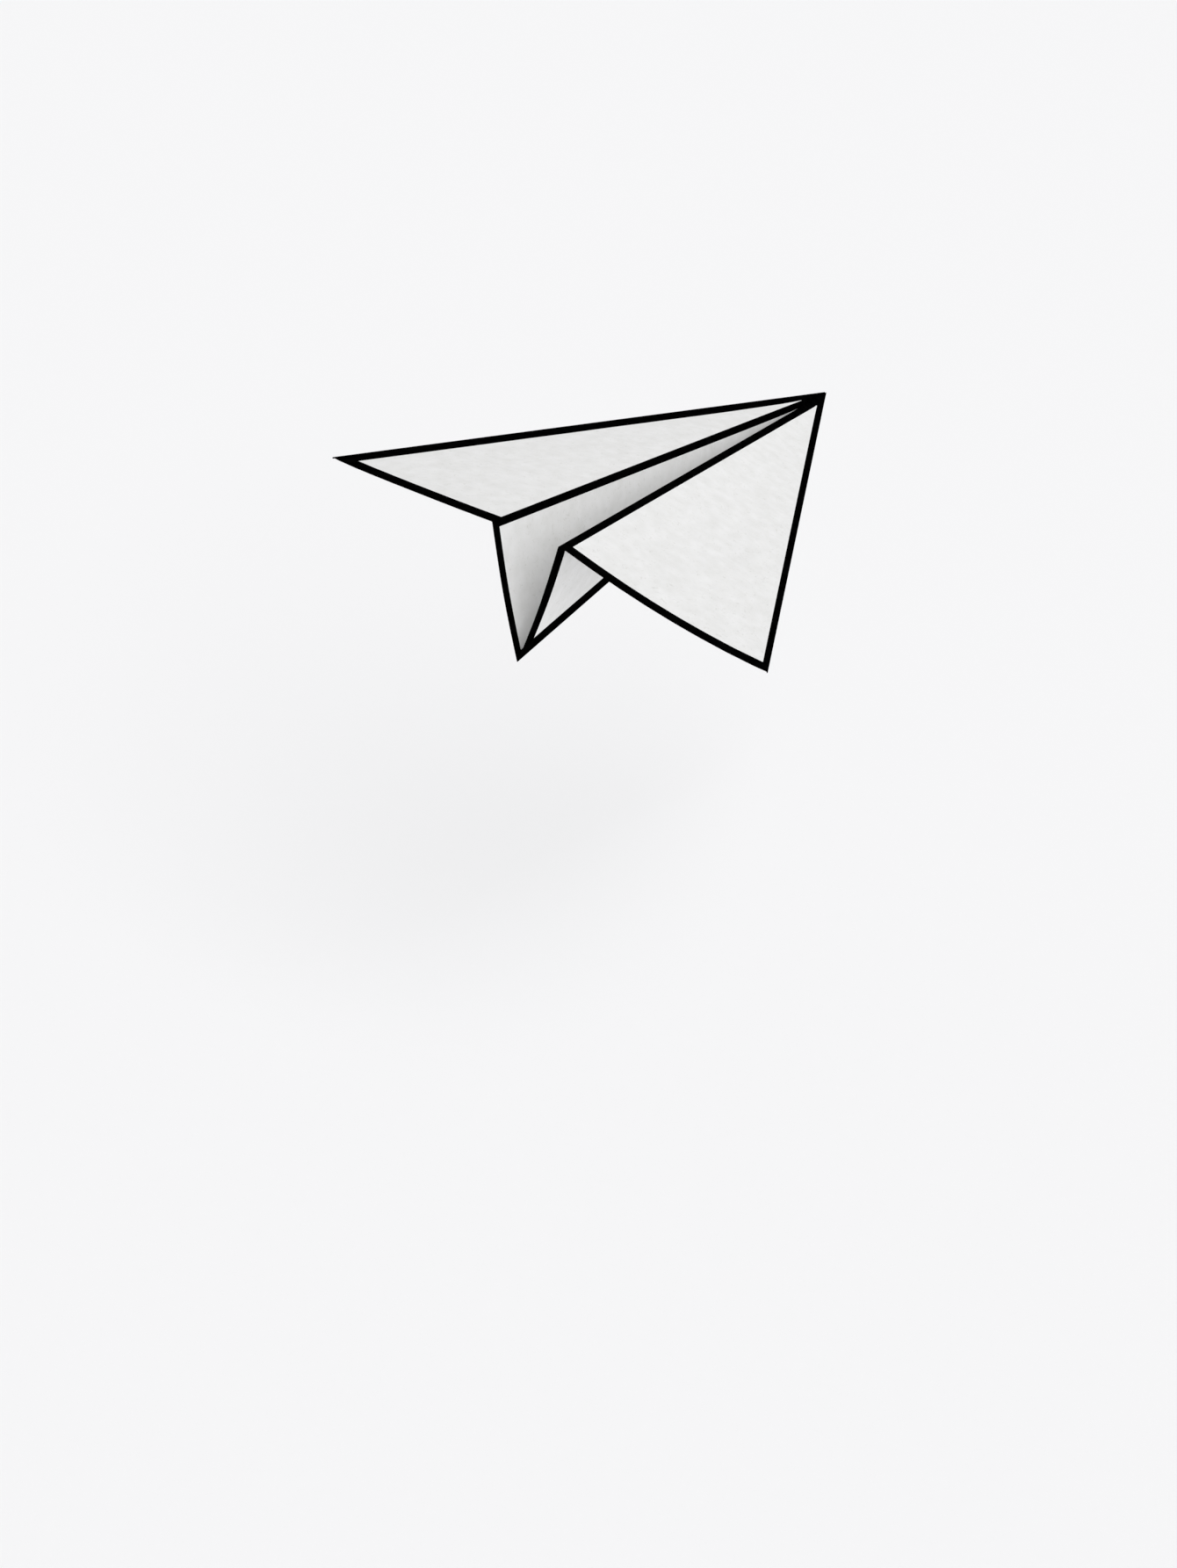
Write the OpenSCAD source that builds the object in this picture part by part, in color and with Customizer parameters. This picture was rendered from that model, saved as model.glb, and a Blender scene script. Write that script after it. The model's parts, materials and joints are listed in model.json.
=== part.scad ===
// Paper dart, folded from one sheet: a V-shaped body, two swept wings, and flaps tucked underneath.
// X points forward to the nose, Y to the left wing, Z up. The keel rests on Z = 0, and the
// origin is under the middle of the keel.
// Each half is drawn as a flat sheet with the nose at the origin and the keel along -X, then
// folded: the body side leans out from the keel, and the wing turns down at its crease.

/* [Sheet] */
// Length of the sheet, from nose to tail
sheet_l = 279.4; // [260:0.1:297]
// Width of the whole sheet before folding
sheet_w = 215.9; // [200:0.1:225]
// Thickness of the paper
paper_t = 0.1; // [0.08:0.01:0.15]
// Air left between folded layers
layer_gap = 0.02; // [0.01:0.01:0.05]

/* [Folds] */
// Angle between the keel and each wing crease
crease_a = 9; // [8:0.5:12]
// Lean of each body side away from upright
side_lean = 14; // [4:1:30]
// Fold of the left wing down from its body side
left_fold = 79; // [40:1:120]
// Fold of the right wing down from its body side
right_fold = 92; // [40:1:120]

/* [Clearances] */
// Gap between a bent crease and the panels that turn about it
crease_gap = 0.03; // [0.02:0.01:0.06]
// Where the leading edges start, back from the nose point
edge_start = 3.5; // [3.2:0.1:6]

/* [Hidden] */
$fn = 64;
paper_white = "#e5e5e5";
ink_black = "#101010";

half_w = sheet_w / 2;
edge_a = 45 / 2; // the first fold brings the edge to 45 degrees, the second halves that
edge_l = half_w / sin(edge_a); // leading edge, nose to wing tip
corner_l = half_w * sqrt(2); // first fold, which ends up along the keel
tuck_edge_l = half_w / cos(edge_a); // stretch of the leading edge that holds the tucked corner
tail_r = sheet_l / cos(crease_a); // the wings' trailing edges are cut to an arc about the nose
reach = 2 * sheet_l; // larger than any panel

// Layers count down from the top face: 0 sheet, 1 inner tuck, 2 outer tuck, 3 flap
SHEET = 0;
INNER_TUCK = 1;
OUTER_TUCK = 2;
FLAP = 3;
pitch = paper_t + layer_gap;
stack_t = FLAP * pitch + paper_t;
face_gap = layer_gap; // from the keel axis to the inner face of each body side
edge_r = stack_t / 2; // outer radius of the leading edge
tuck_r = (pitch + paper_t) / 2; // outer radius of a fold between neighbouring layers
keel_r = face_gap + paper_t; // outer radius of the keel
keel_gap = keel_r + crease_gap; // from the keel to the edges beside it
axis_z = -(face_gap + stack_t + layer_gap); // wing crease axis, just under the lowest layer
crease_r = stack_t + layer_gap; // outer radius of a wing crease
wing_gap = crease_r + crease_gap; // from the crease axis to the wing's layers
inner_gap = 5 * crease_gap; // inner layers stop this far short of the crease, inside the bend

HALVES = ["left", "right"];

// ---- flat outlines of the sheet's layers, nose at the origin and tail towards -X ----

// The strip between two lines through the nose, each moved outward by a distance
module between(from_a, from_by, to_a, to_by) {
    intersection() {
        rotate(-from_a) translate([-reach, from_by]) square([2 * reach, reach]);
        rotate(-to_a) translate([-reach, to_by - reach]) square([2 * reach, reach]);
        children();
    }
}

module body_part(keel_by, crease_by = -inner_gap) {
    between(0, keel_by, crease_a, crease_by) children();
}

module wing_part() {
    between(crease_a, wing_gap, edge_a, -edge_r) children();
}

// The sheet itself, with the wing's trailing edge cut to an arc
module sheet_outline() {
    intersection() {
        translate([-sheet_l, 0]) square([sheet_l, half_w]);
        circle(r = tail_r);
    }
}

// Corner folded in first, as far as the leading edge
module inner_tuck_outline() {
    polygon([[0, 0], [-half_w, 0], [-half_w, half_w * tan(edge_a)]]);
}

// The rest of that corner, turned back with the second fold
module outer_tuck_outline() {
    polygon([[0, 0], [-half_w, half_w * tan(edge_a)], [-corner_l, 0]]);
}

// Side of the sheet turned under by the second fold; its free edge runs back at 45 degrees
module flap_outline() {
    polygon([[0, 0], [-corner_l, 0], [-edge_l * cos(edge_a), half_w]]);
}

// ---- paper in place ----

module layer(n) {
    translate([0, 0, -(face_gap + n * pitch + paper_t)]) linear_extrude(paper_t) children();
}

// A strip bent round a fold line at angle a: by outward and z up from the nose, and as long as
// length. The bend runs from one angle to another, measured from upright towards the wing tip.
module bent(a, by, z, start, length, r, from_turn, turn) {
    rotate(-a)
        translate([-start, by, z])
        rotate([0, -90, 0])
        rotate(from_turn)
        rotate_extrude(angle = turn)
        translate([r - paper_t, 0])
        square([paper_t, length]);
}

// Stands a flat half up on the keel
module stood_up() {
    translate([sheet_l / 2, 0, keel_r]) rotate([90 - side_lean, 0, 0]) children();
}

// Turns the wing down about the crease axis
module folded_down(fold) {
    translate([0, 0, axis_z])
        rotate(a = fold, v = [-cos(crease_a), sin(crease_a), 0])
        translate([0, 0, -axis_z])
        children();
}

module on_body(half) {
    mirror([0, half == "left" ? 0 : 1, 0]) stood_up() children();
}

module on_wing(half) {
    on_body(half) folded_down(half == "left" ? left_fold : right_fold) children();
}

// ---- sub-parts of the body ----

// The fold along the bottom, joining the two body sides
module keel_crease() {
    color(ink_black)
        translate([sheet_l / 2, 0, keel_r])
        bent(0, 0, 0, 0, sheet_l, keel_r, 90 + side_lean, 180 - 2 * side_lean);
}

// Body side, from the keel up to the wing crease; the left one runs on into the keel
module side_panel(half) {
    color(paper_white)
        on_body(half)
        layer(SHEET)
        body_part(half == "left" ? 0 : keel_gap, 0)
        sheet_outline();
}

module side_inner_tuck(half) {
    color(paper_white)
        on_body(half) layer(INNER_TUCK) body_part(keel_gap) inner_tuck_outline();
}

module side_outer_tuck(half) {
    color(paper_white)
        on_body(half) layer(OUTER_TUCK) body_part(keel_gap + tuck_r) outer_tuck_outline();
}

module side_flap(half) {
    color(paper_white)
        on_body(half) layer(FLAP) body_part(keel_gap + tuck_r) flap_outline();
}

// First fold of the sheet, which the second fold brings round to lie along the keel
module corner_fold(half) {
    z = -(face_gap + OUTER_TUCK * pitch + tuck_r);
    start = edge_start;
    color(ink_black)
        on_body(half)
        bent(0, keel_gap + tuck_r, z, start, corner_l - start, tuck_r, 180, 180);
}

// Bend at the top of the body side, which the wing turns about
module wing_crease(half) {
    fold = half == "left" ? left_fold : right_fold;
    color(ink_black)
        on_body(half)
        bent(crease_a, 0, axis_z, 1, tail_r - 1, crease_r, 0, fold);
}

// ---- sub-parts of the wings ----

module wing_panel(half) {
    color(paper_white) on_wing(half) layer(SHEET) wing_part() sheet_outline();
}

module wing_inner_tuck(half) {
    color(paper_white) on_wing(half) layer(INNER_TUCK) wing_part() inner_tuck_outline();
}

module wing_outer_tuck(half) {
    color(paper_white) on_wing(half) layer(OUTER_TUCK) wing_part() outer_tuck_outline();
}

module wing_flap(half) {
    color(paper_white) on_wing(half) layer(FLAP) wing_part() flap_outline();
}

// Second fold: the wing's front edge, bent round the whole stack
module leading_edge(half) {
    color(ink_black)
        on_wing(half)
        bent(edge_a, -edge_r, -(face_gap + edge_r), edge_start, edge_l - edge_start, edge_r, 0, 180);
}

// The tucked corner's own bend, inside the leading edge
module inner_edge_fold(half) {
    color(ink_black)
        on_wing(half)
        bent(edge_a, -edge_r, -(face_gap + edge_r), edge_start, tuck_edge_l - edge_start, tuck_r, 0, 180);
}

// ---- assembly ----

keel_crease();
for (h = HALVES) {
    side_panel(h);
    side_inner_tuck(h);
    side_outer_tuck(h);
    side_flap(h);
    corner_fold(h);
    wing_crease(h);
    wing_panel(h);
    wing_inner_tuck(h);
    wing_outer_tuck(h);
    wing_flap(h);
    leading_edge(h);
    inner_edge_fold(h);
}
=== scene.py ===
"""A paper dart, folded from one sheet of office paper, with its outline drawn in black felt pen.

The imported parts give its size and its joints. Every length is in metres and every angle in radians.
"""

import json
from math import acos, atan2, cos, exp, pi, radians, sin, sqrt, tan

import bpy
from mathutils import Matrix, Vector


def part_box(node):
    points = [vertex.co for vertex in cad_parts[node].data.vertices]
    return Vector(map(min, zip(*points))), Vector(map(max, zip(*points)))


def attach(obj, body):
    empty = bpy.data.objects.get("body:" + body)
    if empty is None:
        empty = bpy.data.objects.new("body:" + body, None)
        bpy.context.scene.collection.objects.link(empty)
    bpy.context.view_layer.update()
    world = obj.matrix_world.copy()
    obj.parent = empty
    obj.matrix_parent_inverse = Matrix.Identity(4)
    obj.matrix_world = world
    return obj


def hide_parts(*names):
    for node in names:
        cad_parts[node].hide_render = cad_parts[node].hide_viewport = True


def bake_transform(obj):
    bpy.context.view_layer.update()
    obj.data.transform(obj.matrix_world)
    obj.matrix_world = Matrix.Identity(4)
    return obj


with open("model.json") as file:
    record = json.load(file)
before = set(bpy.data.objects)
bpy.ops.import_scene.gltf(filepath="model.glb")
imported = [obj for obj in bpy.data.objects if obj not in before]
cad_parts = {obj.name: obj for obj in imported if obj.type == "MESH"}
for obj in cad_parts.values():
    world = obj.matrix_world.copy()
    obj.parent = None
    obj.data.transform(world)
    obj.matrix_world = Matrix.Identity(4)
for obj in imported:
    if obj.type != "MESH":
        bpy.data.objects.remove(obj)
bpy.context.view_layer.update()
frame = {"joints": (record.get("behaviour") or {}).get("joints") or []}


# ---- Paper ----
# Uncoated office paper, 80 g/m2: wood fibres pressed flat and calendered. Held to the light it is
# cloudy, where the fibres lie thicker and thinner. Up close it has a fine felted tooth, and is matt.


def add(tree, kind, sockets=None, **settings):
    """Adds a node with its settings. Each socket takes a plain value or another node's output."""
    made = tree.nodes.new(kind)
    for setting, value in settings.items():
        setattr(made, setting, value)
    for socket, value in (sockets or {}).items():
        if isinstance(value, bpy.types.NodeSocket):
            tree.links.new(value, made.inputs[socket])
        else:
            made.inputs[socket].default_value = value
    return made.outputs


def from_srgb(code):
    """An sRGB hex colour as linear red, green, blue and alpha."""
    shares = [int(code[i : i + 2], 16) / 255 for i in (1, 3, 5)]
    return [s / 12.92 if s <= 0.04045 else ((s + 0.055) / 1.055) ** 2.4 for s in shares] + [1.0]


paper = bpy.data.materials.new("uncoated_office_paper")
paper.use_nodes = True
tree = paper.node_tree
tree.nodes.clear()
place = add(tree, "ShaderNodeTexCoord")["Object"]
# Cloudiness of the pulp, in patches
PATCH = 0.005
cloud = add(
    tree, "ShaderNodeTexNoise", {"Vector": place, "Scale": 1 / PATCH, "Detail": 4.0}
)["Fac"]
tone = add(tree, "ShaderNodeValToRGB", {"Fac": cloud})
stops = tree.nodes[-1].color_ramp.elements
for stop, position, code in zip(stops, (0.3, 0.7), ("#E2E2E1", "#EAEAEA")):
    stop.position = position
    stop.color = from_srgb(code)
# Fibres: real ones are 0.03 mm wide and 1 to 2 mm long. They are drawn about 0.2 mm wide, to show
# at all, where a noise crosses its middle value, and broken into lengths by a second noise.
FIBRE_SPACING = 0.0024
FIBRE_LENGTH = 0.0014
HALF_FIBRE = 0.02  # how far from its middle value the noise still makes a fibre
winding = add(
    tree,
    "ShaderNodeTexNoise",
    {"Vector": place, "Scale": 1 / FIBRE_SPACING, "Detail": 1.0, "Distortion": 0.6},
)["Fac"]
ridge = add(tree, "ShaderNodeMath", {0: winding, 1: 0.5}, operation="SUBTRACT")[0]
ridge = add(tree, "ShaderNodeMath", {0: ridge}, operation="ABSOLUTE")[0]
fibre = add(
    tree,
    "ShaderNodeMapRange",
    {"Value": ridge, "From Max": HALF_FIBRE, "To Min": 1.0, "To Max": 0.0},
)[0]
broken = add(
    tree, "ShaderNodeTexNoise", {"Vector": place, "Scale": 1 / FIBRE_LENGTH, "Detail": 0.0}
)["Fac"]
broken = add(
    tree, "ShaderNodeMapRange", {"Value": broken, "From Min": 0.5, "From Max": 0.62}
)[0]
fibre = add(tree, "ShaderNodeMath", {0: fibre, 1: broken}, operation="MULTIPLY")[0]
fleck = add(tree, "ShaderNodeMath", {0: fibre, 1: 0.6}, operation="MULTIPLY")[0]
colour = add(
    tree,
    "ShaderNodeMix",
    {0: fleck, 6: tone[0], 7: from_srgb("#CFCFCB")},
    data_type="RGBA",
)[2]
# Felted tooth, where fibres cross, and how deep it is
TOOTH = 0.0005
TOOTH_DEPTH = 0.0001
tooth = add(
    tree, "ShaderNodeTexNoise", {"Vector": place, "Scale": 1 / TOOTH, "Detail": 2.0}
)["Fac"]
height = add(tree, "ShaderNodeMath", {0: fibre, 1: 0.5, 2: tooth}, operation="MULTIPLY_ADD")[0]
bump = add(
    tree, "ShaderNodeBump", {"Height": height, "Strength": 0.6, "Distance": TOOTH_DEPTH}
)[0]
gloss = add(
    tree,
    "ShaderNodeMapRange",
    {"Value": cloud, "From Min": 0.3, "From Max": 0.7, "To Min": 0.72, "To Max": 0.84},
)[0]
surface = add(
    tree,
    "ShaderNodeBsdfPrincipled",
    {"Base Color": colour, "Roughness": gloss, "Normal": bump, "Specular IOR Level": 0.25},
)[0]
add(tree, "ShaderNodeOutputMaterial", {"Surface": surface})


# ---- Ink ----
# Black felt-pen ink, soaked into the same paper along every edge and fold. It stays matt, with the
# paper's tooth under it, and is a little thinner where the pen's strokes don't overlap.

ink = bpy.data.materials.new("black_felt_pen_ink_on_paper")
ink.use_nodes = True
tree = ink.node_tree
tree.nodes.clear()
place = add(tree, "ShaderNodeTexCoord")["Object"]
STROKE = 0.003  # from one pen stroke to the next
stroke = add(
    tree, "ShaderNodeTexNoise", {"Vector": place, "Scale": 1 / STROKE, "Detail": 3.0}
)["Fac"]
depth = add(tree, "ShaderNodeValToRGB", {"Fac": stroke})
stops = tree.nodes[-1].color_ramp.elements
for stop, position, code in zip(stops, (0.35, 0.75), ("#000000", "#060606")):
    stop.position = position
    stop.color = from_srgb(code)
tooth = add(
    tree, "ShaderNodeTexNoise", {"Vector": place, "Scale": 1 / TOOTH, "Detail": 2.0}
)["Fac"]
bump = add(
    tree, "ShaderNodeBump", {"Height": tooth, "Strength": 0.4, "Distance": TOOTH_DEPTH}
)[0]
gloss = add(
    tree,
    "ShaderNodeMapRange",
    {"Value": stroke, "From Min": 0.3, "From Max": 0.7, "To Min": 0.62, "To Max": 0.78},
)[0]
surface = add(
    tree,
    "ShaderNodeBsdfPrincipled",
    {"Base Color": depth[0], "Roughness": gloss, "Normal": bump, "Specular IOR Level": 0.0},
)[0]
add(tree, "ShaderNodeOutputMaterial", {"Surface": surface})


# ---- The sheet: body sides and wing tops ----
# The layer that shows from above, one facet on each side of each wing crease. It starts as a flat
# half with the nose at the origin and the keel along -X, and is then stood up and folded down.

keel_low, keel_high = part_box("keel_crease")
length = keel_high.x - keel_low.x
half_width = 0.2159 / 2  # of the sheet, before it is folded
thickness = 0.0001
air = 0.00002  # between folded layers
pitch = thickness + air
stack = 3 * pitch + thickness  # sheet, inner tuck, outer tuck and flap
edge_radius = stack / 2  # outside of the bend at the leading edge
keel_radius = air + thickness
crease_radius = stack + air
hinge_height = -(air + crease_radius)  # just under the lowest layer

hinges = {joint["name"]: joint for joint in frame["joints"]}
hinge_line = Vector(hinges["left_wing_fold"]["axis"])
crease = acos(-hinge_line.x)  # from the keel to the wing crease
lean = atan2(hinge_line.y, hinge_line.z)  # of a body side from upright
RAISED_LIMIT = 5.0  # degrees from the body side to the wing when it is raised all the way
fold = {
    half: radians(RAISED_LIMIT - hinges[half + "_wing_fold"]["range_deg"][0])
    for half in ("left", "right")
}
edge = pi / 8  # two foldings of the square corner
edge_length = half_width / sin(edge)
tail_radius = length / cos(crease)


def stood_up(half):
    """Stands a flat half up on the keel, leaning outwards."""
    upright = Matrix.Translation((length / 2, 0, keel_radius))
    upright = upright @ Matrix.Rotation(pi / 2 - lean, 4, "X")
    return upright if half == "left" else Matrix.Diagonal((1, -1, 1, 1)) @ upright


def folded_down(half):
    """Turns a wing down about its crease."""
    hinge = Vector((-cos(crease), sin(crease), 0))
    turn = Matrix.Translation((0, 0, hinge_height)) @ Matrix.Rotation(fold[half], 4, hinge)
    return stood_up(half) @ turn @ Matrix.Translation((0, 0, -hinge_height))


def group(name, inputs):
    """A new Geometry Nodes tree with these named inputs, and one geometry in and out."""
    made = bpy.data.node_groups.new(name, "GeometryNodeTree")
    made.interface.new_socket("Geometry", in_out="INPUT", socket_type="NodeSocketGeometry")
    for label, kind in inputs:
        made.interface.new_socket(label, in_out="INPUT", socket_type="NodeSocket" + kind)
    made.interface.new_socket("Geometry", in_out="OUTPUT", socket_type="NodeSocketGeometry")
    return made, add(made, "NodeGroupInput")


def finished(name, mesh, made_by, values, where, mirrored):
    """Runs a tree on a mesh, and puts the plain mesh that it makes in its place on the dart."""
    blank = bpy.data.objects.new(name + "_blank", mesh)
    bpy.context.scene.collection.objects.link(blank)
    modifier = blank.modifiers.new("made", "NODES")
    modifier.node_group = made_by
    for item in made_by.interface.items_tree:
        if item.in_out == "INPUT" and item.name in values:
            modifier[item.identifier] = values[item.name]
    depsgraph = bpy.context.evaluated_depsgraph_get()
    plain = bpy.data.meshes.new_from_object(blank.evaluated_get(depsgraph), depsgraph=depsgraph)
    bpy.data.objects.remove(blank)
    plain.name = name
    plain.transform(where)
    if mirrored:
        plain.flip_normals()
    piece = bpy.data.objects.new(name, plain)
    bpy.context.scene.collection.objects.link(piece)
    return piece


CRISP = 0.7  # radians that the paper's surface turns at its cut edges, at least


def shaded(tree, geometry, marked):
    """Smooth faces with crisp cut edges, in paper, and in ink where marked."""
    smooth = {"Geometry": geometry, "Shade Smooth": True}
    geometry = add(tree, "GeometryNodeSetShadeSmooth", smooth, domain="FACE")[0]
    turn = add(tree, "GeometryNodeInputMeshEdgeAngle")["Unsigned Angle"]
    cut = add(tree, "FunctionNodeCompare", {"A": turn, "B": CRISP}, operation="GREATER_THAN")[0]
    crisp = {"Geometry": geometry, "Selection": cut, "Shade Smooth": False}
    geometry = add(tree, "GeometryNodeSetShadeSmooth", crisp, domain="EDGE")[0]
    geometry = add(tree, "GeometryNodeRealizeInstances", {"Geometry": geometry})[0]
    bare = {"Geometry": geometry, "Material": paper}
    geometry = add(tree, "GeometryNodeSetMaterial", bare)[0]
    drawn = {"Geometry": geometry, "Selection": marked, "Material": ink}
    geometry = add(tree, "GeometryNodeSetMaterial", drawn)[0]
    add(tree, "NodeGroupOutput", {"Geometry": geometry})


# A facet keeps its straight folds and bows a little between them, as a cone through the nose. Its
# free edge, if it has one, runs back at 45 degrees and lifts away from the layer above it.
facet_tree, given = group(
    "paper_facet",
    [
        ("Detail", "Int"),
        ("First Angle", "Float"),
        ("Last Angle", "Float"),
        ("Reach", "Float"),
        ("Bow", "Float"),
        ("Ripple", "Float"),
        ("Ripples per Metre", "Float"),
        ("Free Edge", "Float"),
        ("Lift", "Float"),
        ("Lift Width", "Float"),
    ],
)
fine = add(
    facet_tree, "GeometryNodeSubdivideMesh", {"Mesh": given["Geometry"], "Level": given["Detail"]}
)[0]
spot = add(facet_tree, "GeometryNodeInputPosition")[0]
x, y, z = add(facet_tree, "ShaderNodeSeparateXYZ", {"Vector": spot})
back = add(facet_tree, "ShaderNodeMath", {0: x, 1: -1.0}, operation="MULTIPLY")[0]
angle = add(facet_tree, "ShaderNodeMath", {0: y, 1: back}, operation="ARCTAN2")[0]
across = add(
    facet_tree,
    "ShaderNodeMapRange",
    {
        "Value": angle,
        "From Min": given["First Angle"],
        "From Max": given["Last Angle"],
        "To Max": pi,
    },
)[0]
swell = add(facet_tree, "ShaderNodeMath", {0: across}, operation="SINE")[0]
flat_spot = add(facet_tree, "ShaderNodeCombineXYZ", {"X": back, "Y": y})[0]
far = add(facet_tree, "ShaderNodeVectorMath", {0: flat_spot}, operation="LENGTH")["Value"]
share = add(facet_tree, "ShaderNodeMath", {0: far, 1: given["Reach"]}, operation="DIVIDE")[0]
bow = add(facet_tree, "ShaderNodeMath", {0: share, 1: given["Bow"]}, operation="MULTIPLY")[0]
wave = add(
    facet_tree,
    "ShaderNodeTexNoise",
    {"Vector": flat_spot, "Scale": given["Ripples per Metre"], "Detail": 1.0},
)[0]
wave = add(facet_tree, "ShaderNodeMath", {0: wave, 1: 0.5}, operation="SUBTRACT")[0]
bow = add(
    facet_tree, "ShaderNodeMath", {0: wave, 1: given["Ripple"], 2: bow}, operation="MULTIPLY_ADD"
)[0]
inward = add(
    facet_tree, "ShaderNodeMath", {0: given["Free Edge"], 1: back}, operation="SUBTRACT"
)[0]
inward = add(facet_tree, "ShaderNodeMath", {0: inward, 1: y}, operation="ADD")[0]
lift = add(
    facet_tree,
    "ShaderNodeMapRange",
    {
        "Value": inward,
        "From Max": given["Lift Width"],
        "To Min": given["Lift"],
        "To Max": 0.0,
    },
    interpolation_type="SMOOTHSTEP",
)[0]
bow = add(facet_tree, "ShaderNodeMath", {0: bow, 1: lift}, operation="SUBTRACT")[0]
bow = add(facet_tree, "ShaderNodeMath", {0: bow, 1: swell}, operation="MULTIPLY")[0]
offset = add(facet_tree, "ShaderNodeCombineXYZ", {"Z": bow})[0]
bowed = add(facet_tree, "GeometryNodeSetPosition", {"Geometry": fine, "Offset": offset})[0]
inked = add(
    facet_tree, "GeometryNodeInputNamedAttribute", {"Name": "inked"}, data_type="BOOLEAN"
)[0]
shaded(facet_tree, bowed, inked)

# Rows of faces, this far back from the nose, and closer together where the pen lines part
ROWS = [0.010, 0.014, 0.019, 0.026, 0.035, 0.047, 0.063, 0.083, 0.105]
ROWS += [0.127, 0.149, 0.171, 0.193, 0.215, 0.237, 0.259]
LAST_ROW = 0.93  # the most of the way to the tail that a row lies, before the tail's pen line
COLUMNS = 7  # of faces between the pen lines
SLIVER = 0.97  # the most of a row that ink may take
STEPS = 1000  # in which the place where the pen lines part is looked for
FIRST_STEP = 20


def grid(apex, tail, angle, lines):
    """One face of a facet, in rows back from the apex, and which rows the pen covers all across.

    lines holds the pen line's width along the first edge and the last edge, each at the nose and at
    the tail, its width along the tail, and how far back it comes to its full width.
    """
    first, last, end, run_in = lines
    ends = [tail(0.0) - apex, tail(1.0) - apex]
    reach = max(e.length for e in ends)
    chord = (ends[1] - ends[0]).normalized()
    depth = abs(ends[0].x * chord.y - ends[0].y * chord.x)
    inner = 1 - end / depth

    def shares_at(s):
        """The share of a row that each edge's pen line takes."""
        ease = 1 - exp(-s * reach / run_in)
        widths = [(w[0] + (w[1] - w[0]) * s) * ease for w in (first, last)]
        return [w / (s * e.length * sin(angle)) for w, e in zip(widths, reversed(ends))]

    # the two lines part here, and bare paper starts
    places = (k / STEPS for k in range(FIRST_STEP, STEPS))
    part = next(s for s in places if sum(shares_at(s)) < SLIVER)
    rows = [r / reach for r in ROWS if r / reach < LAST_ROW] + [inner, 1.0]
    nearest = min(range(len(rows) - 2), key=lambda k: abs(rows[k] - part))
    rows[nearest] = part
    points, closed = [], []
    for s in rows:
        shares = shares_at(s)
        closed.append(s < part)
        if sum(shares) > SLIVER:
            shares = [f * SLIVER / sum(shares) for f in shares]
        room = 1 - sum(shares)
        across = [0.0] + [shares[0] + room * k / COLUMNS for k in range(COLUMNS + 1)] + [1.0]
        points.append([apex + (tail(q) - apex) * s for q in across])
    return points, closed


UNSEEN = ((0.003, 0.003), (0.003, 0.003), 0.003, 0.02)  # a hidden face's rows, without ink


def facet_mesh(name, first_line, last_line, tail, layer, top, under):
    """A closed flat facet between two lines through the nose, each an angle and an outward shift.

    tail is the back edge: two points that it runs through, or a curve from the first line to the
    last. top and under are its pen lines, or None where the face stays hidden.
    """
    (a, shift_a), (b, shift_b) = first_line, last_line
    if callable(tail):
        back_edge = tail
    else:
        start, run = Vector(tail[0]), Vector(tail[1]) - Vector(tail[0])
        normals = [Vector((sin(t), cos(t))) for t in (a, b)]
        cuts = [(d - start.dot(n)) / run.dot(n) for d, n in zip((shift_a, shift_b), normals)]

        def back_edge(q):
            return start + run * (cuts[0] + (cuts[1] - cuts[0]) * q)

    # where the two shifted lines cross
    r = (shift_a * cos(b - a) - shift_b) / sin(b - a)
    apex = Vector((-r * cos(a) + shift_a * sin(a), r * sin(a) + shift_a * cos(a)))
    height = -(air + layer * pitch)
    faces, marks, verts, rims = [], [], [], []
    for level, lines, turned in ((height, top, False), (height - thickness, under, True)):
        rows, closed = grid(apex, back_edge, b - a, lines or UNSEEN)
        base = len(verts)
        verts.append((apex.x, apex.y, level))
        width = len(rows[0])
        for row in rows:
            verts += [(p.x, p.y, level) for p in row]
        made = [(base, base + 2 + j, base + 1 + j) for j in range(width - 1)]
        pen = [lines is not None] * len(made)
        for i in range(len(rows) - 1):
            for j in range(width - 1):
                c = base + 1 + i * width + j
                made.append((c, c + 1, c + 1 + width, c + width))
                at_rim = j in (0, width - 2) or i == len(rows) - 2
                pen.append(lines is not None and (at_rim or closed[i]))
        faces += [f[::-1] if turned else f for f in made]
        marks += pen
        last_row = base + 1 + (len(rows) - 1) * width
        rim = [base] + [base + i * width for i in range(1, len(rows) + 1)]
        rim += [last_row + j for j in range(width - 2, -1, -1)]
        rim += [base + 1 + i * width for i in range(len(rows) - 2, -1, -1)]
        rims.append(rim)
    upper, lower = rims
    for k in range(len(upper)):
        n = (k + 1) % len(upper)
        faces.append((upper[k], lower[k], lower[n], upper[n]))
        marks.append(True)
    mesh = bpy.data.meshes.new(name)
    mesh.from_pydata(verts, [], faces)
    mesh.attributes.new("inked", "BOOLEAN", "FACE").data.foreach_set("value", marks)
    mesh.update()
    return mesh


RIPPLE = 0.0004
RIPPLES_PER_METRE = 22.0
LIFT_WIDTH = 0.030  # from the free edge to where the flap lies flat again
NO_FREE_EDGE = 9.0  # far behind the tail


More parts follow.
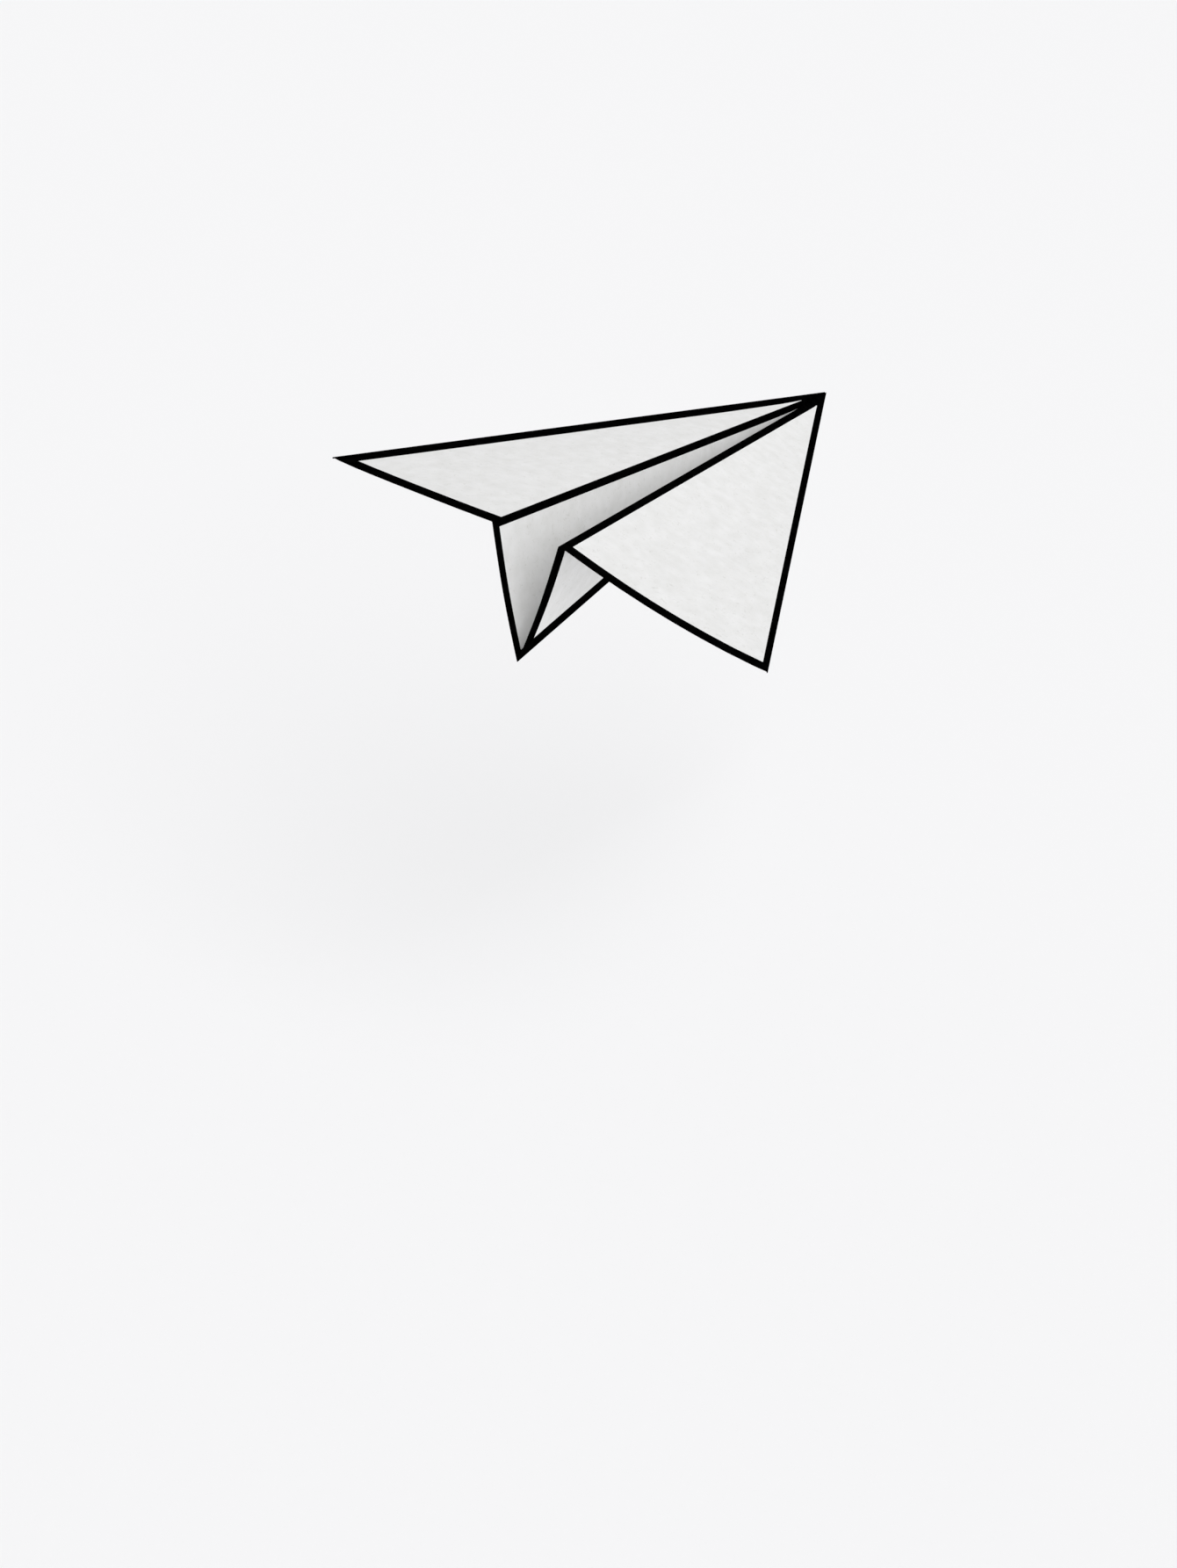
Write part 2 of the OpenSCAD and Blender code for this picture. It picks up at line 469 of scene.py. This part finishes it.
def facet(half, side, name, mesh, free_edge=NO_FREE_EDGE, lift=0.0):
    """Finishes a facet, and hangs it on its body in place of the plain part of that name."""
    angles = (0.0, crease) if side == "side" else (crease, edge)
    where = stood_up(half) if side == "side" else folded_down(half)
    values = {
        "Detail": 2,
        "First Angle": angles[0],
        "Last Angle": angles[1],
        "Reach": length,
        "Bow": BOW[half, side],
        "Ripple": RIPPLE,
        "Ripples per Metre": RIPPLES_PER_METRE,
        "Free Edge": free_edge,
        "Lift": lift,
        "Lift Width": LIFT_WIDTH,
    }
    piece = finished(name + "_paper", mesh, facet_tree, values, where, half == "right")
    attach(piece, f"{half}_{side}")
    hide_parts(name)


TIP_DRAW = 12  # the higher, the closer to the tip the arc is left


def wing_tail(q):
    """The wing's back edge: an arc about the nose, brought in to the tip of the leading edge."""
    tip = Vector((-edge_length * cos(edge), edge_length * sin(edge)))
    tip -= edge_radius * Vector((sin(edge), cos(edge)))
    turned = crease + (atan2(tip.y, -tip.x) - crease) * q
    radius = tail_radius + (tip.length - tail_radius) * q**TIP_DRAW
    return Vector((-radius * cos(turned), radius * sin(turned)))


# How far each facet bows out at the tail
BOW = {
    ("left", "side"): -0.0006,
    ("right", "side"): -0.0006,
    ("left", "wing"): 0.0006,
    ("right", "wing"): -0.0007,
}
body_tail = ((-length, 0), (-length, length * tan(crease)))
# Pen lines, as (nose, tail) widths along the first edge and the last edge, the width along the tail,
# and how far back from the nose the first two come to their full width
INNER_FACE = ((0.0039, 0.0025), (0.0028, 0.0018), 0.0030, 0.020)
OUTER_FACE = ((0.0084, 0.0066), (0.0030, 0.0020), 0.0058, 0.020)
WING_TOP = {
    "left": ((0.0003, 0.0001), (0.0098, 0.0067), 0.0051, 0.025),
    "right": ((0.0034, 0.0020), (0.0032, 0.0018), 0.0041, 0.008),
}
WING_UNDER = ((0.0030, 0.0030), (0.0040, 0.0040), 0.0040, 0.020)

for half in ("left", "right"):
    name = half + "_side_panel"
    mesh = facet_mesh(name, (0.0, 0.0), (crease, 0.0), body_tail, 0, INNER_FACE, OUTER_FACE)
    facet(half, "side", name, mesh)
    name = half + "_wing_panel"
    mesh = facet_mesh(
        name, (crease, 0.0), (edge, -edge_radius), wing_tail, 0, WING_TOP[half], WING_UNDER
    )
    facet(half, "wing", name, mesh)


# ---- Corners folded in first ----
# The front corner of the sheet, brought to the middle line. The second fold turns part of it back,
# so it makes two layers inside: the inner tuck against the sheet, the outer tuck below it. They
# are bare paper, but for a margin where the ink has soaked in from the pen lines along the folds.

corner_length = half_width * sqrt(2)  # from the nose back to the corner, along the keel
tuck_depth = half_width * tan(edge)
tuck_radius = (pitch + thickness) / 2  # outside of a bend between neighbouring layers
hidden_gap = 0.00005  # between a hidden layer and the bend of the wing crease
keel_gap = keel_radius + 0.00003  # clear of the bend along the keel
SOAKED = ((0.0040, 0.0020), (0.0020, 0.0010), 0.0010, 0.020)

# the lines that hidden layers stop at, each an angle and an outward shift
near_keel = (0.0, keel_gap)
by_bend = (0.0, keel_gap + tuck_radius)
body_crease = (crease, -hidden_gap)
wing_crease = (crease, hidden_gap)
lead = (edge, -edge_radius)
# how far back the wing crease crosses the tuck's free edge, and the flap's
inward_cross = corner_length / (1 + tan(crease))
outward_cross = corner_length / (1 - tan(crease))

for half in ("left", "right"):
    name = half + "_side_inner_tuck"
    tail = ((-half_width, keel_gap), (-half_width, half_width * tan(crease)))
    mesh = facet_mesh(name, near_keel, body_crease, tail, 1, SOAKED, SOAKED)
    facet(half, "side", name, mesh)

    name = half + "_wing_inner_tuck"
    tail = ((-half_width, half_width * tan(crease)), (-half_width, tuck_depth))
    mesh = facet_mesh(name, wing_crease, lead, tail, 1, SOAKED, SOAKED)
    facet(half, "wing", name, mesh)

    name = half + "_side_outer_tuck"
    tail = ((-corner_length, by_bend[1]), (-inward_cross, inward_cross * tan(crease)))
    mesh = facet_mesh(name, by_bend, body_crease, tail, 2, SOAKED, SOAKED)
    facet(half, "side", name, mesh)

    name = half + "_wing_outer_tuck"
    tail = ((-inward_cross, inward_cross * tan(crease)), (-half_width, tuck_depth))
    mesh = facet_mesh(name, wing_crease, lead, tail, 2, SOAKED, SOAKED)
    facet(half, "wing", name, mesh)


# ---- Flaps ----
# The side of the sheet, turned under by the second fold. It is the layer that shows on the outside
# of the body and under the wing. Its free edge runs back at 45 degrees and stands off a little.

FLAP_BODY = ((0.0084, 0.0076), (0.0030, 0.0024), 0.0030, 0.020)
FLAP_WING = ((0.0030, 0.0030), (0.0040, 0.0040), 0.0030, 0.020)
SIDE_LIFT = 0.0006
WING_LIFT = 0.0012
for half in ("left", "right"):
    name = half + "_side_flap"
    tail = ((-corner_length, by_bend[1]), (-outward_cross, outward_cross * tan(crease)))
    mesh = facet_mesh(name, by_bend, body_crease, tail, 3, None, FLAP_BODY)
    facet(half, "side", name, mesh, corner_length, SIDE_LIFT)

    name = half + "_wing_flap"
    tip = (-edge_length * cos(edge), edge_length * sin(edge))
    tail = ((-outward_cross, outward_cross * tan(crease)), tip)
    mesh = facet_mesh(name, wing_crease, lead, tail, 3, None, FLAP_WING)
    facet(half, "wing", name, mesh, corner_length, WING_LIFT)


# ---- Folds ----
# Where the paper bends: round the wing's front edge, round the tucked corner inside it, along the
# first fold, at the wing creases and at the keel. Each is creased by hand and inked over.

RINGS = 48
STEPS_ROUND = 13

fold_tree, given = group(
    "bent_strip",
    [
        ("Start", "Float"),
        ("Length", "Float"),
        ("Radius", "Float"),
        ("Thickness", "Float"),
        ("From Turn", "Float"),
        ("Turn", "Float"),
        ("Rings", "Int"),
        ("Steps Round", "Int"),
    ],
)
strip = add(
    fold_tree,
    "GeometryNodeMeshCube",
    {
        "Size": (1.0, 1.0, 1.0),
        "Vertices X": given["Rings"],
        "Vertices Y": given["Steps Round"],
        "Vertices Z": 2,
    },
)[0]
spot = add(fold_tree, "GeometryNodeInputPosition")[0]
x, y, z = add(fold_tree, "ShaderNodeSeparateXYZ", {"Vector": spot})
# the cube runs from -0.5 to 0.5: x along the fold, y round it, z through the paper
along = add(fold_tree, "ShaderNodeMath", {0: x, 1: -0.5}, operation="ADD")[0]
along = add(
    fold_tree, "ShaderNodeMath", {0: along, 1: given["Length"]}, operation="MULTIPLY"
)[0]
along = add(fold_tree, "ShaderNodeMath", {0: along, 1: given["Start"]}, operation="SUBTRACT")[0]
round_it = add(fold_tree, "ShaderNodeMath", {0: y, 1: 0.5}, operation="ADD")[0]
round_it = add(
    fold_tree,
    "ShaderNodeMath",
    {0: round_it, 1: given["Turn"], 2: given["From Turn"]},
    operation="MULTIPLY_ADD",
)[0]
out = add(fold_tree, "ShaderNodeMath", {0: z, 1: -0.5}, operation="ADD")[0]
out = add(
    fold_tree,
    "ShaderNodeMath",
    {0: out, 1: given["Thickness"], 2: given["Radius"]},
    operation="MULTIPLY_ADD",
)[0]
sine = add(fold_tree, "ShaderNodeMath", {0: round_it}, operation="SINE")[0]
cosine = add(fold_tree, "ShaderNodeMath", {0: round_it}, operation="COSINE")[0]
sine = add(fold_tree, "ShaderNodeMath", {0: sine, 1: out}, operation="MULTIPLY")[0]
cosine = add(fold_tree, "ShaderNodeMath", {0: cosine, 1: out}, operation="MULTIPLY")[0]
bent = add(fold_tree, "ShaderNodeCombineXYZ", {"X": along, "Y": sine, "Z": cosine})[0]
strip = add(fold_tree, "GeometryNodeSetPosition", {"Geometry": strip, "Position": bent})[0]
everywhere = add(fold_tree, "FunctionNodeInputBool", boolean=True)[0]
shaded(fold_tree, strip, everywhere)


def bend(name, where, start, end, radius, from_turn, turn, mirrored=False):
    """A strip bent round a fold line, in place of the plain part of that name."""
    values = {
        "Start": start,
        "Length": end - start,
        "Radius": radius,
        "Thickness": thickness,
        "From Turn": from_turn,
        "Turn": turn,
        "Rings": RINGS,
        "Steps Round": STEPS_ROUND,
    }
    piece = finished(
        name + "_bend", bpy.data.meshes.new(name), fold_tree, values, where, mirrored
    )
    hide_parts(name)
    return piece


FIRST_BEND = 0.001  # the leading edges start this far back from the nose's point
FIRST_INSIDE = 0.0035  # and the folds inside them where there is room for them
for half in ("left", "right"):
    mirrored = half == "right"
    wing = folded_down(half) @ Matrix.Rotation(-edge, 4, "Z")
    wing = wing @ Matrix.Translation((0, -edge_radius, -(air + edge_radius)))
    front = bend(
        half + "_leading_edge", wing, FIRST_BEND, edge_length, edge_radius, 0, pi, mirrored
    )
    inside = bend(
        half + "_inner_edge_fold",
        wing,
        FIRST_INSIDE,
        half_width / cos(edge),
        tuck_radius,
        0,
        pi,
        mirrored,
    )
    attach(front, half + "_wing")
    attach(inside, half + "_wing")

    low = -(air + 2 * pitch + tuck_radius)
    along_keel = stood_up(half) @ Matrix.Translation((0, keel_gap + tuck_radius, low))
    corner = bend(
        half + "_corner_fold",
        along_keel,
        FIRST_INSIDE,
        corner_length,
        tuck_radius,
        pi,
        pi,
        mirrored,
    )
    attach(corner, half + "_side")

    # the wing crease, bent between the body side and the wing at their rest angle, and fixed in place
    at_hinge = stood_up(half) @ Matrix.Rotation(-crease, 4, "Z")
    at_hinge = at_hinge @ Matrix.Translation((0, 0, hinge_height))
    top = bend(
        half + "_wing_crease", at_hinge, 0, tail_radius, crease_radius, 0, fold[half], mirrored
    )
    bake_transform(top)

# the keel, bent between the two body sides at their rest angle, and fixed in place
at_keel = Matrix.Translation((length / 2, 0, keel_radius))
left_turn = pi / 2 + lean
right_turn = 3 * pi / 2 - lean
keel = bend("keel_crease", at_keel, 0, length, keel_radius, left_turn, right_turn - left_turn)
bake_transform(keel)


# ---- Floor, light and camera ----
# The dart glides over a plain pale floor, in even studio light with one large soft light above.

FLOOR_HEIGHT = -0.35
FLOOR_HALF = 40.0
floor_mesh = bpy.data.meshes.new("floor")
corners = [(-FLOOR_HALF, -FLOOR_HALF), (FLOOR_HALF, -FLOOR_HALF)]
corners += [(FLOOR_HALF, FLOOR_HALF), (-FLOOR_HALF, FLOOR_HALF)]
floor_mesh.from_pydata([(x, y, FLOOR_HEIGHT) for x, y in corners], [], [(0, 1, 2, 3)])
floor = bpy.data.objects.new("floor", floor_mesh)
bpy.context.scene.collection.objects.link(floor)
backdrop = bpy.data.materials.new("matt_backdrop_paper")
backdrop.use_nodes = True
shader = backdrop.node_tree.nodes["Principled BSDF"]
shader.inputs["Base Color"].default_value = from_srgb("#F3F3F4")
shader.inputs["Roughness"].default_value = 0.95
shader.inputs["Specular IOR Level"].default_value = 0.0
floor_mesh.materials.append(backdrop)

# The walls are as pale as the floor and the ceiling is darker, so upright faces don't go dull
WALL, CEILING = 1.0, 0.53
world = bpy.data.worlds.new("studio")
world.use_nodes = True
tree = world.node_tree
direction = add(tree, "ShaderNodeTexCoord")["Generated"]
rise = add(tree, "ShaderNodeSeparateXYZ", {"Vector": direction})["Z"]
wall = add(tree, "ShaderNodeMapRange", {"Value": rise, "To Min": WALL, "To Max": CEILING})[0]
tree.links.new(wall, tree.nodes["Background"].inputs["Color"])
bpy.context.scene.world = world
soft_box = bpy.data.lights.new("soft_box", "SUN")
soft_box.energy = 1.47
soft_box.angle = radians(50)  # wide, for soft shadows
light = bpy.data.objects.new("soft_box", soft_box)
light.rotation_mode = "QUATERNION"
light.rotation_quaternion = Vector((-0.45, -0.5, 0.74)).to_track_quat("Z", "Y")
bpy.context.scene.collection.objects.link(light)
bpy.context.scene.view_settings.view_transform = "Standard"

camera_data = bpy.data.cameras.new("camera")
camera_data.sensor_width = 36.0
camera_data.lens = 24.052
camera_data.clip_start = 0.01
camera_data.clip_end = 200.0
camera = bpy.data.objects.new("camera", camera_data)
# It stands behind the dart, above it and to its right
right = Vector((0.48922, -0.86701, 0.09466))
up = Vector((0.54659, 0.38936, 0.74138))
towards = Vector((-0.67964, -0.31096, 0.66438))
turn = Matrix((right, up, towards)).transposed().to_4x4()
camera.matrix_world = Matrix.Translation((-0.36632, -0.13255, 0.18653)) @ turn
bpy.context.scene.collection.objects.link(camera)
bpy.context.scene.camera = camera
